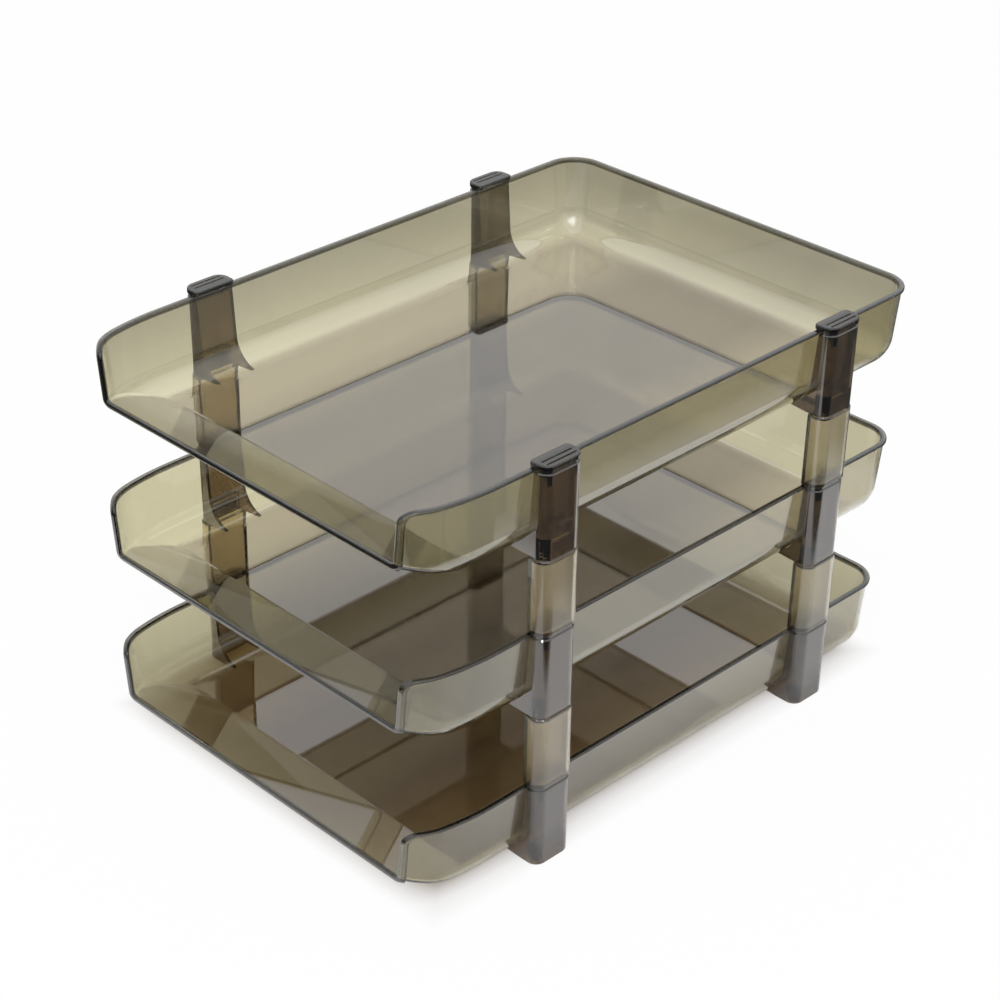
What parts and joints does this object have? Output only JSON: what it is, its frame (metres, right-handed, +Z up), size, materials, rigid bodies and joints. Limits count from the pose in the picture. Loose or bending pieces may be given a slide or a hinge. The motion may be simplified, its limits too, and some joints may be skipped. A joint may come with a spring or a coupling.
{
  "type": "stacking letter tray",
  "caption": "Stack of open-front letter trays with ramped mouths and rolled rims, carried on clip-together side posts of brackets, spacer sleeves and grooved caps",
  "frame": {"origin": "centre of the object's bounding box in plan, on the plane that the four feet stand on", "axes": "+Z is up, -Y is the open front where paper goes in, +X is to the right seen from the front"},
  "size_m": [0.2618, 0.3515, 0.227],
  "materials": {
    "tray": "clear smoke-brown moulded plastic, polished",
    "support": "near-black brown moulded plastic, polished",
    "riser": "warm grey moulded plastic, satin",
    "cap": "mid-grey moulded plastic, satin"
  },
  "bodies": {
    "bottom_tier": {"bottom_tray": "tray", "bottom_front_left_support": "support", "bottom_front_right_support": "support", "bottom_rear_left_support": "support", "bottom_rear_right_support": "support", "lower_front_left_riser": "riser", "lower_front_right_riser": "riser", "lower_rear_left_riser": "riser", "lower_rear_right_riser": "riser"},
    "middle_tier": {"middle_tray": "tray", "middle_front_left_support": "support", "middle_front_right_support": "support", "middle_rear_left_support": "support", "middle_rear_right_support": "support", "upper_front_left_riser": "riser", "upper_front_right_riser": "riser", "upper_rear_left_riser": "riser", "upper_rear_right_riser": "riser"},
    "top_tier": {"top_tray": "tray", "top_front_left_support": "support", "top_front_right_support": "support", "top_rear_left_support": "support", "top_rear_right_support": "support"},
    "front_left_cap_body": {"front_left_cap": "cap"},
    "front_right_cap_body": {"front_right_cap": "cap"},
    "rear_left_cap_body": {"rear_left_cap": "cap"},
    "rear_right_cap_body": {"rear_right_cap": "cap"}
  },
  "joints": [
    {"name": "middle_tier_lift", "type": "slide", "parent": "bottom_tier", "child": "middle_tier", "axis": [0, 0, 1], "range_m": [0, 0.04]},
    {"name": "top_tier_lift", "type": "slide", "parent": "middle_tier", "child": "top_tier", "axis": [0, 0, 1], "range_m": [0, 0.04]},
    {"name": "front_left_cap_lift", "type": "slide", "parent": "top_tier", "child": "front_left_cap_body", "axis": [0, 0, 1], "range_m": [0, 0.03]},
    {"name": "front_right_cap_lift", "type": "slide", "parent": "top_tier", "child": "front_right_cap_body", "axis": [0, 0, 1], "range_m": [0, 0.03]},
    {"name": "rear_left_cap_lift", "type": "slide", "parent": "top_tier", "child": "rear_left_cap_body", "axis": [0, 0, 1], "range_m": [0, 0.03]},
    {"name": "rear_right_cap_lift", "type": "slide", "parent": "top_tier", "child": "rear_right_cap_body", "axis": [0, 0, 1], "range_m": [0, 0.03]}
  ]
}
